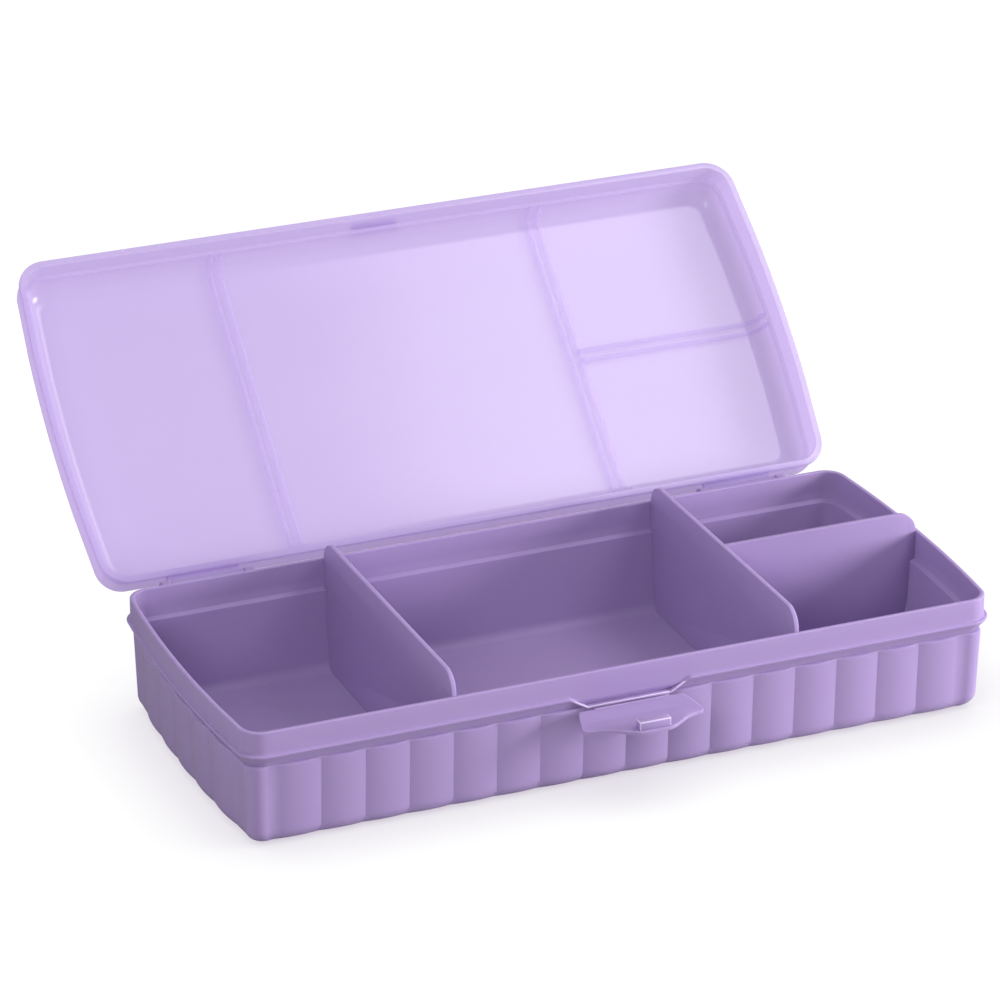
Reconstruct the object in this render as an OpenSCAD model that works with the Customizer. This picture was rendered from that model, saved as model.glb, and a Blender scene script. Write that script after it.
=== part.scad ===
// Long, low lunch box: a ribbed tray with four compartments, a domed lid that
// swings on two rear hinges, and a springy front latch that folds up over the lid.
// The origin is the middle of the tray's underside. +X runs along the front, to
// the right, +Y to the hinges, +Z up. The lid is drawn swung open to its stop.

/* [Tray] */
// Length over the rim, at the middle of the bowed ends
rim_l = 284; // [250:0.2:320]
// Width over the rim, front to rear
rim_w = 122.4; // [100:0.2:150]
// Height of the rim above the underside
rim_h = 44; // [40:0.5:60]
// How far each end bows outwards
end_bow = 3.3; // [1:0.1:6]
// Corner radius at the rim
corner_r = 7.8; // [6:0.1:12]
// Wall thickness of the band under the rim
rim_wall = 1.5; // [1.2:0.1:2]
// Wall thickness below the inner ledge
wall_t = 1.6; // [1.2:0.1:2.2]
// Floor thickness
floor_t = 1.8; // [1.2:0.1:3]
// Rounding between the wall and the underside
foot_r = 6; // [4:0.5:8]
// Corner radius left at the underside
foot_corner_r = 2.8; // [1:0.1:3]
// Inset of the wall from the rim at the foot
foot_in = 2.6; // [2:0.1:3.4]
// Inset of the wall from the rim at the top of the ribs
rib_in = 1.8; // [1.2:0.1:2]

/* [Bead and ledge] */
// Height of the plain band from the rim down to the bead
band_h = 8.2; // [7:0.1:10]
// How far the bead stands out past the rim
bead_out = 1.3; // [0.8:0.1:1.6]
// Height of the bead's face
bead_h = 1.4; // [1:0.1:2.4]
// Height of the ledge inside the wall below the rim
ledge_drop = 10.8; // [9.5:0.1:13]

/* [Ribs] */
// Spacing of the ribs on the long sides
rib_pitch = 16; // [10:0.5:20]
// Spacing of the ribs on the ends
end_pitch = 17.4; // [10:0.1:20]
// How far a rib swells out of its valleys
rib_depth = 1.2; // [0.4:0.1:1.6]
// Drop from the rim to the top of the ribs
rib_drop = 13.4; // [13:0.1:16]

/* [Dividers] */
// Thickness of the dividers
divider_t = 1.6; // [1.2:0.1:2.2]
// How far the dividers rise above the rim
divider_rise = 7.6; // [4:0.1:9]
// Distance of the two full dividers from the middle
divider_x = 64; // [40:1:80]
// Place of the short divider, front to rear
cross_y = 0; // [-20:1:20]

/* [Lid] */
// Wall thickness of the lid
lid_t = 1.6; // [1.2:0.1:2]
// Gap between the tray's rim and the lid's skirt
lid_gap = 0.6; // [0.4:0.05:1]
// Gap between faces that meet when the box is shut
seat_gap = 0.3; // [0.2:0.05:0.5]
// How far the lip at the skirt's edge stands out
lip_out = 1.1; // [0.6:0.1:1.4]
// Height of that lip
lip_h = 1.6; // [1:0.1:2.4]
// Width of the lid's soft shoulder, from the skirt in to the panel
shoulder_w = 9.7; // [8:0.1:14]
// Height of the shoulder's curve
shoulder_h = 9; // [7:0.1:12]
// Height of the shoulder's start above the seat
shoulder_up = 0.7; // [0.4:0.1:2]
// Rise of the panel's middle above its edge
crown = 0.6; // [0:0.1:1.5]
// Thickness of the twin ribs that take the dividers' tops
channel_t = 1; // [0.8:0.1:1.5]
// Gap between such a rib and its divider
channel_gap = 0.7; // [0.5:0.1:1]
// Depth of the twin ribs
channel_h = 2.4; // [1:0.1:4]

/* [Hinges] */
// Angle of the open lid from shut
lid_open = 137; // [95:1:150]
// Distance of the hinge axis behind the rim
axis_out = 8.3; // [8:0.1:12]
// Height of the hinge axis above the bead
axis_up = 1.3; // [0:0.1:3]
// Distance of each hinge's middle from the end of the tray
hinge_in = 37; // [32:0.2:60]
// Length of a lid knuckle
knuckle_l = 27; // [12:0.5:30]
// Radius of a lid knuckle
knuckle_r = 3.2; // [2.6:0.1:3.6]
// Radius of a hinge pin
pin_r = 1.5; // [1:0.1:2]
// Radial running gap of a pin in its knuckle
pin_run = 0.06; // [0.02:0.01:0.1]
// Radial gap of a pin in its lugs
pin_seat = 0.02; // [0.01:0.01:0.05]
// Thickness of a hinge lug
lug_t = 3.5; // [2:0.5:5]
// Side gap between a knuckle and a lug
side_gap = 0.4; // [0.3:0.1:1]

/* [Latch] */
// Length of the latch's flexible root
root_l = 27; // [18:0.5:32]
// Width of the latch at the wall
latch_back_w = 38; // [34:0.5:44]
// Width of the latch at its front corners
latch_front_w = 44.8; // [40:0.5:50]
// Reach of the latch's wings from the wall
wing_reach = 12; // [8:0.5:14]
// Reach of the thumb tongue from the wall
tongue_reach = 21.4; // [19:0.1:24]
// Thickness of the latch
latch_t = 1.2; // [0.8:0.1:1.4]
// Droop of the wings, as a slope
droop = 0.14; // [0.05:0.01:0.2]
// Lift of the tongue against the wings, as a slope
tongue_lift = 0.19; // [0.1:0.01:0.22]
// Width of the hook
hook_w = 11.6; // [8:0.2:14]
// Height of the hook above the tongue
hook_h = 3.2; // [2.6:0.1:3.4]
// Length of the hook, front to rear
hook_l = 3.6; // [2:0.1:4]
// Gap at the hook's sides in the lid's catch
catch_gap = 2.9; // [1:0.1:4]
// How far the catch's ridge stands out of the lid's skirt
catch_out = 1.2; // [0.8:0.1:1.4]

/* [Hidden] */

TRAY_COLOUR = "#a995cb";
LID_COLOUR = "#dccbf5";

// Plan: half sizes, and the circle that the bowed ends follow
half_l = rim_l / 2;
half_w = rim_w / 2;
bow_r = (half_w * half_w + end_bow * end_bow) / (2 * end_bow);
bow_x = half_l - bow_r;

// Heights, from the underside
bead_z = rim_h - band_h;
ledge_z = rim_h - ledge_drop;
rib_top = rim_h - rib_drop;
divider_top = rim_h + divider_rise;

// Insets at the underside, and the inside fillet of the floor
foot_inset = foot_in + foot_r;
fillet_r = foot_r - wall_t;

// Steps of a rib, of a corner and of a rounding
rib_steps = 4;
corner_steps = 6;
round_steps = 4;
dome_steps = 7;
rib_end_h = 0.9;
fillet_h = 0.8;
edge_break = 0.3;

// Lid heights, shut
lid_edge_z = bead_z + seat_gap;
lid_seat_z = rim_h + seat_gap;
shoulder_z = lid_seat_z + shoulder_up;
panel_in = 16;
skirt_in = -lid_gap;
skirt_out = skirt_in - lid_t;
lip_edge = skirt_out - lip_out;
dome_inset = skirt_out + shoulder_w;
dome_in_w = dome_inset - rim_wall + seat_gap * 2;
dome_in_h = shoulder_up + shoulder_h - lid_t;

// Hinge axis
hinge_x = half_l - hinge_in;
axis_y = half_w + axis_out;
axis_z = bead_z + axis_up;
lug_r = knuckle_r + 0.3;
lug_x = knuckle_l / 2 + side_gap + lug_t / 2;
lug_top = bead_z - 0.4;
root_in = 1.5;
heel_r = knuckle_r + 2.4;
heel_t = 2.4;
stop_w = 6;
arm_t = 2;
head_r = pin_r + 0.8;
head_t = 1;

// Latch axis, and the latch's place on the tray
latch_axis_y = -(half_w + 1.4);
latch_axis_z = rib_top - 0.4;
root_r = 0.5;
bend_at = 7;
tongue_side = 0.68;
tongue_blend = 0.4;
hook_in = 1;
hook_from = tongue_reach - hook_l - hook_in;
pocket_top_w = latch_front_w + 0.2;
pocket_low = rib_top - 0.2;
ridge_low = rib_top + 0.1;
ridge_out = 0.6;
ridge_t = 0.8;
curl_low = ridge_low + 0.1;
curl_top = bead_z - 0.5;
curl_out = 0.7;
curl_in = 0.3;
curl_w = 1.4;

// Catch on the lid's front
catch_w = hook_w + 2 * catch_gap;
catch_low = lid_seat_z + 0.3;
catch_h = 1.9;
notch_low = lid_seat_z + 2.4;
notch_h = 4.6;
notch_in = 0.2;

// ---------- plan outlines ----------

// Point of a bowed end at a place y, for an inset from the rim
function end_x(y, inset) = bow_x + sqrt(pow(bow_r - inset, 2) - y * y);

// Centre of a corner's arc, in the quarter where x and y are positive
function corner_cy(inset, r) = half_w - inset - r;
function corner_cx(inset, r) =
    bow_x + sqrt(pow(bow_r - inset - r, 2) - pow(corner_cy(inset, r), 2));

// Arc of one corner from the long side to the end
function corner(inset, r, sx, sy) =
    let (cx = corner_cx(inset, r), cy = corner_cy(inset, r), a_end = atan2(cy, cx - bow_x))
    [for (i = [0:corner_steps])
        let (a = 90 + (a_end - 90) * i / corner_steps)
        [sx * (cx + r * cos(a)), sy * (cy + r * sin(a))]];

function reversed(list) = [for (i = [len(list) - 1:-1:0]) list[i]];

// Closed outline, anticlockwise: places xs on the long sides and ys on the ends
function outline(inset, r, xs, ys) = concat(
    [for (x = xs) [x, inset - half_w]],
    corner(inset, r, 1, -1),
    [for (y = ys) [end_x(y, inset), y]],
    reversed(corner(inset, r, 1, 1)),
    [for (x = reversed(xs)) [x, half_w - inset]],
    corner(inset, r, -1, 1),
    [for (y = reversed(ys)) [-end_x(y, inset), y]],
    reversed(corner(inset, r, -1, -1)));

// Corner radius of the tray's wall: it shrinks towards the foot
function tray_r(inset) =
    inset < 0 ? corner_r - inset : corner_r - inset * (corner_r - foot_corner_r) / foot_inset;

// Corner radius of the lid: parallel to the rim outside it, softer on the dome
function lid_r(inset) = inset < 0 ? corner_r - inset : max(1, corner_r - inset * 0.3);

// ---------- ribs ----------

// Whole ribs that fit between the corners
side_ribs = 2 * floor(corner_cx(foot_inset, foot_corner_r) / rib_pitch);
end_ribs = 2 * floor((corner_cy(foot_inset, foot_corner_r) - end_pitch / 2) / end_pitch) + 1;
side_xs = [for (i = [0:side_ribs * rib_steps]) (i / rib_steps - side_ribs / 2) * rib_pitch];
end_ys = [for (i = [0:end_ribs * rib_steps]) (i / rib_steps - end_ribs / 2) * end_pitch];

// Swell of a rib over its width, from 0 in a valley to 1 on the crest
function swell(u) = 1 - pow(2 * (u - floor(u)) - 1, 2);
side_swell = [for (i = [0:side_ribs * rib_steps]) swell(i / rib_steps)];
end_swell = [for (i = [0:end_ribs * rib_steps]) swell(i / rib_steps)];
corner_swell = [for (i = [0:corner_steps]) 1 - pow(2 * (i + 1) / (corner_steps + 2) - 1, 4)];
tray_swell = [for (i = [0:1]) each concat(side_swell, corner_swell, end_swell, corner_swell)];

// Ring of the ribbed wall: the swell takes part of the inset away
function wall_ring(z, inset, ribs) =
    let (plain = outline(inset, tray_r(inset), side_xs, end_ys),
         outer = outline(inset - 1, tray_r(inset - 1), side_xs, end_ys))
    [for (i = [0:len(plain) - 1])
        let (p = plain[i] + (outer[i] - plain[i]) * tray_swell[i] * rib_depth * ribs)
        [p[0], p[1], z]];

// Ring without ribs, for the inside of the tray and for the lid
plain_xs = [-half_l * 0.7, half_l * 0.7];
plain_ys = [for (i = [-3:3]) half_w * 0.17 * i];
function plain_ring(z, inset, r) =
    [for (p = outline(inset, r, plain_xs, plain_ys)) [p[0], p[1], z]];

// Middle of a ring, to close it with a fan of faces
function ring_middle(ring) = [0, 0, ring[0][2]];

// Closed skin through a row of rings that all have the same number of points
module loft(rings) {
    n = len(rings[0]);
    last = (len(rings) - 1) * n;
    first_middle = len(rings) * n;
    last_middle = first_middle + 1;
    sides = [for (k = [0:len(rings) - 2], i = [0:n - 1])
        let (a = k * n + i, b = k * n + (i + 1) % n)
        each [[a, a + n, b + n], [a, b + n, b]]];
    polyhedron(
        points = concat([for (ring = rings) each ring],
                        [ring_middle(rings[0]), ring_middle(rings[len(rings) - 1])]),
        faces = concat(
            [for (i = [0:n - 1]) [first_middle, i, (i + 1) % n]], sides,
            [for (i = [0:n - 1]) [last_middle, last + (i + 1) % n, last + i]]));
}

// ---------- tray ----------

// Outside of the tray as rows of [height, inset, share of the rib]
tray_outside = concat(
    [for (i = [0:round_steps]) let (a = 90 * i / round_steps)
        [foot_r * (1 - cos(a)), foot_in + foot_r * (1 - sin(a)), sin(a)]],
    [[rib_top - rib_end_h, rib_in, 1],
     [rib_top, rib_in, 0],
     [bead_z - bead_h, 0.5 - bead_out, 0],
     [bead_z - edge_break, -bead_out, 0],
     [bead_z, edge_break - bead_out, 0],
     [bead_z + 0.1, -edge_break, 0],
     [bead_z + fillet_h, 0, 0],
     [rim_h - edge_break, 0, 0],
     [rim_h, edge_break, 0]]);

// Inside of the tray as rows of [height, inset], from the rim to the floor
tray_inside = concat(
    [[rim_h, rim_wall], [ledge_z, rim_wall], [ledge_z - fillet_h, rib_in + wall_t]],
    [for (i = [round_steps:-1:0]) let (a = 90 * i / round_steps)
        [floor_t + fillet_r * (1 - cos(a)), foot_in + wall_t + fillet_r * (1 - sin(a))]]);

module tray_shell() {
    loft(concat([for (row = tray_outside) wall_ring(row[0], row[1], row[2])],
                [for (row = tray_inside) wall_ring(row[0], row[1], 0)]));
}

// Flat dip in the bead behind the latch
module latch_pocket() {
    high = bead_z + fillet_h + 0.2;
    translate([0, -half_w, 0]) rotate([90, 0, 0]) linear_extrude(bead_out + 1)
        polygon([[-root_l / 2, pocket_low], [root_l / 2, pocket_low],
                 [pocket_top_w / 2, bead_z], [pocket_top_w / 2, high],
                 [-pocket_top_w / 2, high], [-pocket_top_w / 2, bead_z]]);
}

// Place along X of the dip's slanted side at a height
function pocket_side(z) =
    root_l / 2 + (pocket_top_w - root_l) / 2 * (z - pocket_low) / (bead_z - pocket_low);

// Thin ridge over the latch's flexible root
module latch_ridge() {
    half = pocket_side(ridge_low) + curl_in + curl_w / 2;
    translate([-half, -half_w - ridge_out, ridge_low])
        cube([2 * half, ridge_out + rib_in + rim_wall / 2, ridge_t]);
}

// Slanted end of the bead, down one side of the dip to the ridge
module latch_curl(side) {
    depth = curl_out + rib_in + rim_wall / 2;
    low = pocket_side(curl_low) + curl_in;
    top = pocket_side(curl_top) + curl_in;
    translate([0, depth - curl_out - half_w, 0]) rotate([90, 0, 0]) linear_extrude(depth)
        polygon([[side * low, curl_low], [side * (low + curl_w), curl_low],
                 [side * (top + curl_w), curl_top], [side * top, curl_top]]);
}

// Profile in the Y-Z plane, extruded along X about the middle of a hinge
module along_x(x, width) {
    translate([x - width / 2, 0, 0]) rotate([90, 0, 90]) linear_extrude(width) children();
}

// One bored lug of a hinge: a bracket off the rear wall that ends round the axis
module hinge_lug(x) {
    difference() {
        union() {
            along_x(x, lug_t) polygon([
                [half_w - root_in, rib_top - 3], [axis_y, axis_z - lug_r], [axis_y, axis_z],
                [axis_y - lug_r, axis_z], [axis_y - lug_r, lug_top],
                [half_w - root_in, lug_top]]);
            translate([x - lug_t / 2, axis_y, axis_z]) rotate([0, 90, 0])
                cylinder(r = lug_r, h = lug_t, $fn = 48);
        }
        translate([x - lug_t, axis_y, axis_z]) rotate([0, 90, 0])
            cylinder(r = pin_r + pin_seat, h = 2 * lug_t, $fn = 48);
    }
}

// Block on the rear wall that the open lid's heel comes to rest against
module lid_stop(x) {
    face_y = axis_y - heel_t / 2 - seat_gap;
    top = axis_z - knuckle_r;
    along_x(x, stop_w) polygon([
        [half_w - root_in, rib_top - 3], [face_y, axis_z - heel_r - 0.5],
        [face_y, top], [half_w - root_in, top]]);
}

module base_tray() {
    color(TRAY_COLOUR) {
        difference() {
            tray_shell();
            latch_pocket();
        }
        latch_ridge();
        for (side = [-1, 1]) {
            latch_curl(side);
            for (end = [-1, 1]) hinge_lug(side * hinge_x + end * lug_x);
            lid_stop(side * hinge_x);
        }
    }
}

// ---------- dividers ----------

// Quarter round of a divider's top corner, as [inset from the wall, height]
function divider_round(inset, r) =
    [for (i = [0:8]) let (a = 90 * i / 8)
        [inset + r * (1 - cos(a)), divider_top - r * (1 - sin(a))]];

// Edge of a divider from the floor up the wall and over its round top corner
divider_edge = concat(
    [for (row = reversed(tray_inside)) if (row[0] < rim_h) [row[1], row[0]]],
    divider_round(rim_wall, divider_rise - 0.1));

// Side view of a full divider: it fills the tray from the front wall to the rear
module full_divider() {
    color(TRAY_COLOUR) rotate([90, 0, 90]) translate([0, 0, -divider_t / 2])
        linear_extrude(divider_t) polygon(concat(
            [for (p = divider_edge) [half_w - p[0], p[1]]],
            [for (p = reversed(divider_edge)) [p[0] - half_w, p[1]]]));
}

module left_divider() {
    translate([-divider_x, 0, 0]) full_divider();
}

module right_divider() {
    translate([divider_x, 0, 0]) full_divider();
}

// Short divider from the right divider to the right end wall
module cross_divider() {
    inner_end = divider_x + divider_t / 2;
    color(TRAY_COLOUR) translate([0, cross_y + divider_t / 2, 0]) rotate([90, 0, 0])
        linear_extrude(divider_t) polygon(concat(
            [[inner_end, divider_top], [inner_end, floor_t]],
            [for (p = divider_edge) [end_x(abs(cross_y) + divider_t / 2, p[0]), p[1]]]));
}

// ---------- hinge pins ----------

// Pin through both lugs and the knuckle, with its head on the outer lug
module hinge_pin(side) {
    length = 2 * lug_x + lug_t;
    color(TRAY_COLOUR) translate([side * hinge_x, axis_y, axis_z]) rotate([0, 90 * side, 0]) {
        translate([0, 0, -length / 2]) cylinder(r = pin_r, h = length, $fn = 48);
        translate([0, 0, length / 2]) cylinder(r = head_r, h = head_t, $fn = 48);
    }
}

module left_hinge_pin() {
    hinge_pin(-1);
}

module right_hinge_pin() {
    hinge_pin(1);
}

// ---------- latch ----------

// Share of the tongue at a place u across the latch, from -1 to 1
function tongue(u) =
    let (t = max(0, min(1, (tongue_side - abs(u)) / tongue_blend))) t * t * (3 - 2 * t);

// Top face of the latch: u runs across it, v from the wall to the front edge
function latch_point(u, v) =
    let (reach = wing_reach + (tongue_reach - wing_reach) * tongue(u), out = v * reach,
         half = latch_back_w / 2 + (latch_front_w - latch_back_w) / 2 * pow(v, 0.7))
    [u * half, latch_axis_y - out,
     latch_axis_z + 0.2 - droop * out + tongue_lift * tongue(u) * max(0, out - bend_at)];

// Closed sheet between a grid of points and the same grid a thickness lower
module sheet(grid, thickness) {
    rows = len(grid);
    cols = len(grid[0]);
    under = rows * cols;
    function quad(a, b, c, d) = [[a, b, c], [a, c, d]];
    faces = [for (r = [0:rows - 2], c = [0:cols - 2])
        let (a = r * cols + c, b = a + 1, d = a + cols, e = d + 1)
        each concat(quad(a, b, e, d), quad(under + a, under + d, under + e, under + b))];
    rim = concat([for (c = [0:cols - 2]) [c, c + 1]],
                 [for (r = [0:rows - 2]) [r * cols + cols - 1, (r + 1) * cols + cols - 1]],
                 [for (c = [cols - 1:-1:1]) [(rows - 1) * cols + c, (rows - 1) * cols + c - 1]],
                 [for (r = [rows - 1:-1:1]) [r * cols, (r - 1) * cols]]);
    walls = [for (edge = rim) each quad(edge[1], edge[0], under + edge[0], under + edge[1])];
    polyhedron(
        points = concat([for (row = grid) each row],
                        [for (row = grid) each [for (p = row) [p[0], p[1], p[2] - thickness]]]),
        faces = concat(faces, walls));
}

module front_latch() {
    hook_top = latch_axis_z + 0.2 - droop * hook_from
        + tongue_lift * (hook_from - bend_at) + hook_h;
    color(TRAY_COLOUR) {
        sheet([for (i = [0:8]) [for (j = [-12:12]) latch_point(j / 12, i / 8)]], latch_t);
        translate([-root_l / 2, latch_axis_y, latch_axis_z]) rotate([0, 90, 0])
            cylinder(r = root_r, h = root_l, $fn = 24);
        translate([-hook_w / 2, latch_axis_y - hook_from - hook_l, hook_top - hook_h - latch_t / 2])
            cube([hook_w, hook_l, hook_h + latch_t / 2]);
    }
}

// ---------- lid, drawn shut and then swung open ----------

// Rows of [height, inset] up a quarter of an ellipse, from the side to the panel
function dome_arc(z, wide, high, steps) = [for (i = [0:steps]) let (a = 90 * i / steps)
    [z + high * sin(a), dome_inset - wide * cos(a)]];

// Section of the lid: from the panel's underside down inside the skirt, round its
// lip and up over the shoulder to the panel's top
lid_rows = concat(
    [[lid_seat_z + dome_in_h + crown, dome_inset + panel_in]],
    reversed(dome_arc(lid_seat_z, dome_in_w, dome_in_h, dome_steps)),
    [[lid_seat_z, skirt_in],
     [lid_edge_z, skirt_in],
     [lid_edge_z, skirt_out - lip_out / 2],
     [lid_edge_z + lip_h * 0.3, lip_edge],
     [lid_edge_z + lip_h * 0.7, lip_edge],
     [lid_edge_z + lip_h, skirt_out]],
    dome_arc(shoulder_z, shoulder_w, shoulder_h, dome_steps),
    [[shoulder_z + shoulder_h + crown, dome_inset + panel_in]]);

module lid_shell() {
    loft([for (row = lid_rows) plain_ring(row[0], row[1], lid_r(row[1]))]);
}

// Notch in the lid's front shoulder that the latch's hook drops into
module catch_notch() {
    out = lid_t - skirt_out;
    translate([-catch_w / 2, -half_w - out, notch_low]) cube([catch_w, out + notch_in, notch_h]);
}

// Ridge under the notch that the hook holds down
module catch_ridge() {
    translate([-catch_w / 2, skirt_out - half_w - catch_out, catch_low])
        cube([catch_w, catch_out + lid_t / 2, catch_h]);
}

// The dome's inner arc, grown into the wall or shrunk from it, as [inset, height]
function channel_arc(grow) =
    [for (row = dome_arc(lid_seat_z, dome_in_w + grow, dome_in_h + grow, dome_steps))
        [row[1], row[0]]];
channel_edge = channel_arc(lid_t / 3);
channel_under = channel_arc(-channel_h);
panel_under = lid_seat_z + dome_in_h;
function along_y(points, side) = [for (p = points) [side * (half_w - p[0]), p[1]]];

// Twin ribs under the panel, either side of a full divider
module channel_pair() {
    offset_x = divider_t / 2 + channel_gap + channel_t / 2;
    middle = [[0, panel_under + crown + lid_t / 3]];
    for (side = [-1, 1]) along_x(side * offset_x, channel_t)
        polygon(concat(along_y(channel_edge, -1), middle, reversed(along_y(channel_edge, 1)),
                       along_y(channel_under, 1), reversed(along_y(channel_under, -1))));
}

// Twin ribs of the right divider, parted where the short divider meets it
module right_channel_pair() {
    slot = divider_t + 2 * channel_gap;
    difference() {
        translate([divider_x, 0, 0]) channel_pair();
        translate([divider_x, cross_y - slot / 2, rim_h])
            cube([slot, slot, dome_in_h + crown + lid_t]);
    }
}

// Twin ribs over the short divider
module cross_channel() {
    start = divider_x + divider_t / 2 + channel_gap;
    offset_y = divider_t / 2 + channel_gap + channel_t / 2;
    function from_end(points) = [for (p = points) [half_l - p[0], p[1]]];
    for (side = [-1, 1])
        translate([0, cross_y + side * offset_y + channel_t / 2, 0]) rotate([90, 0, 0])
            linear_extrude(channel_t) polygon(concat(
                [[start, panel_under - channel_h], [start, panel_under + crown + lid_t / 3]],
                reversed(from_end(channel_edge)), from_end(channel_under)));
}

// Bored knuckle on an arm behind the skirt, with the heel that stops the open lid
module lid_knuckle(x) {
    arm_from = half_w - skirt_out - lid_t / 2;
    difference() {
        union() {
            translate([x - knuckle_l / 2, axis_y, axis_z]) rotate([0, 90, 0])
                cylinder(r = knuckle_r, h = knuckle_l, $fn = 48);
            translate([x - knuckle_l / 2, arm_from, axis_z + knuckle_r - arm_t])
                cube([knuckle_l, axis_y - arm_from, arm_t]);
            translate([x - stop_w / 2, axis_y, axis_z]) rotate([lid_open, 0, 0])
                translate([0, -heel_t / 2, -heel_r]) cube([stop_w, heel_t, heel_r]);
        }
        translate([x - knuckle_l, axis_y, axis_z]) rotate([0, 90, 0])
            cylinder(r = pin_r + pin_run, h = 2 * knuckle_l, $fn = 48);
    }
}

module lid_shut() {
    difference() {
        lid_shell();
        catch_notch();
    }
    catch_ridge();
    translate([-divider_x, 0, 0]) channel_pair();
    right_channel_pair();
    cross_channel();
    for (side = [-1, 1]) lid_knuckle(side * hinge_x);
}

module lid_cover() {
    color(LID_COLOUR) translate([0, axis_y, axis_z]) rotate([-lid_open, 0, 0])
        translate([0, -axis_y, -axis_z]) lid_shut();
}

base_tray();
left_divider();
right_divider();
cross_divider();
left_hinge_pin();
right_hinge_pin();
front_latch();
lid_cover();
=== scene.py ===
import math

import bmesh
import bpy
import numpy as np
from mathutils import Matrix, Vector


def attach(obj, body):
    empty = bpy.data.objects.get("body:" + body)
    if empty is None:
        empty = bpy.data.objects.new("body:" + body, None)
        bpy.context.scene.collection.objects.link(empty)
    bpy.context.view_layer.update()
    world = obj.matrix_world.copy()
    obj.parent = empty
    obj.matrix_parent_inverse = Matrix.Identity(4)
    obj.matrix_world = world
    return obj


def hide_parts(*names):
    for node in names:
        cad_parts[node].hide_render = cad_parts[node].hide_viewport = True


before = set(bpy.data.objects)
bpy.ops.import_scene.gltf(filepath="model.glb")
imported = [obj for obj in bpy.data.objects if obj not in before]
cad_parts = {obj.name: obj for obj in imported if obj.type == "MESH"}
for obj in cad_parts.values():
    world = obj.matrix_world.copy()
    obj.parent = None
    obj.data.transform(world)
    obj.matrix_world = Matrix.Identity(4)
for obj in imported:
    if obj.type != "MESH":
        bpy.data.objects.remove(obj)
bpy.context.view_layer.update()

# Sizes are in millimetres, as in the part's source; meshes are made in metres.
MM = 0.001

# ---------- tray sizes ----------
# Over the rim, and how far the ends bow out in their middle
RIM_L = 284.0
RIM_W = 122.4
RIM_H = 44.0
END_BOW = 3.3
CORNER_R = 7.8
# Walls at the rim, with its rounds outside and inside, then further down, and the floor
RIM_WALL = 1.5
RIM_ROUND = 0.45
RIM_ROUND_IN = 0.35
WALL_T = 1.6
WALL_MID_Z = 18
FLOOR_T = 1.8
# The rounded foot, its tighter corners, and how far the walls lean in there and under the ribs
FOOT_R = 6.0
FOOT_CORNER_R = 2.8
FOOT_IN = 2.6
RIB_IN = 1.8
# The plain band under the rim, the bead below it and the ledge inside
BAND_H = 8.2
BEAD_OUT = 1.3
BEAD_H = 1.4
LEDGE_DROP = 10.8
# Ribs: how many, how far apart and how deep; the ends' valleys are a share as deep
SIDE_RIBS = 16
END_RIBS = 5
RIB_PITCH = 16.0
END_PITCH = 17.4
RIB_DEPTH = 1.2
RIB_DROP = 13.4
RIB_ROUNDNESS = 2.0
RIB_END_H = 0.9
END_VALLEY = 0.7
# Slanted face from the ribs up to the bead, as [height above the ribs, inset]
SLANT = [(0.3, 1.66), (0.9, 1.36), (1.8, 0.82), (2.6, 0.26), (3.2, -0.24)]
# Round of the bead and its fillet to the band, as [height from the bead's top, inset]
BEAD_ROUND = [(-BEAD_H, -0.72), (-1.1, -1.0), (-0.75, -1.2), (-0.45, -1.28), (-0.28, -BEAD_OUT),
              (-0.1, -1.22), (0, -1.02), (0.02, -0.7), (0.1, -0.36), (0.3, -0.14), (0.6, -0.04),
              (1.0, 0), (4, 0)]
# The ledge's step inside, as [height from the ledge, inset from the rim's wall], and then
# its rounded lip, as [height from the ledge, inset from the ribbed wall]
LEDGE_BACK = [(4, 0), (0.25, 0.02), (0, 0.12)]
LEDGE_LIP = [(-0.65, -0.25), (-0.8, 0), (-1.2, 0.04)]
# Dividers: two across the box, and a short one to the right end
DIVIDER_T = 1.6
DIVIDER_RISE = 7.6
DIVIDER_X = 64.0
DIVIDER_EASE = 0.1

# ---------- lid sizes ----------
# Wall, its gap round the rim, and its gap over what it seats on
LID_T = 1.6
LID_GAP = 0.6
SEAT_GAP = 0.3
# The lip along the skirt's edge
LIP_OUT = 1.1
LIP_H = 1.6
LIP_TRIM = 0.15
LIP_EASE = 0.1
# Small chamfers inside, at the seat and at the skirt's edge
SEAT_EASE = 0.25
EDGE_EASE = 0.2
# The round shoulder, and the panel's rise: part of it at CROWN_MID in, all of it at CROWN_IN
SHOULDER_W = 9.7
SHOULDER_H = 9.0
SHOULDER_UP = 0.7
LEDGE_IN = 0.9
CROWN = 0.6
CROWN_MID = 7
CROWN_IN = 16
CROWN_MID_SHARE = 0.6
LID_R_FALL = 0.3
# Stretches of the panel's edges between the corners
PANEL_X = 98
PANEL_Y = 31
# Twin ribs that take the dividers' tops, and the passage for the cross divider
CHANNEL_T = 1.0
CHANNEL_GAP = 0.7
CHANNEL_H = 2.4
PASSAGE_W = 4.2
PASSAGE_H = 8.4
PASSAGE_UP = 0.4

# ---------- hinge sizes ----------
# How far the open lid is turned, in degrees, and where its axis lies off the rim and bead
LID_OPEN = 137.0
AXIS_OUT = 8.3
AXIS_UP = 1.3
HINGE_X = 105.0
KNUCKLE_L = 27.0
KNUCKLE_R = 3.2
# The pin, its running clearance in the knuckle and its tight one in the lugs
PIN_R = 1.5
PIN_RUN = 0.06
PIN_FIT = 0.02
LUG_T = 3.5
LUG_WALL = 0.3
LUG_DROP = 0.4
SIDE_GAP = 0.4
# The lugs and the blocks start below the ribs' top
SEAT_DROP = 3
ARM_T = 2.0
# Heels on the knuckles, which meet the blocks when the lid is open
HEEL_T = 2.4
HEEL_OUT = 2.4
HEEL_FROM = 0.8
BLOCK_OUT = 0.5
STOP_W = 6.0

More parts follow.
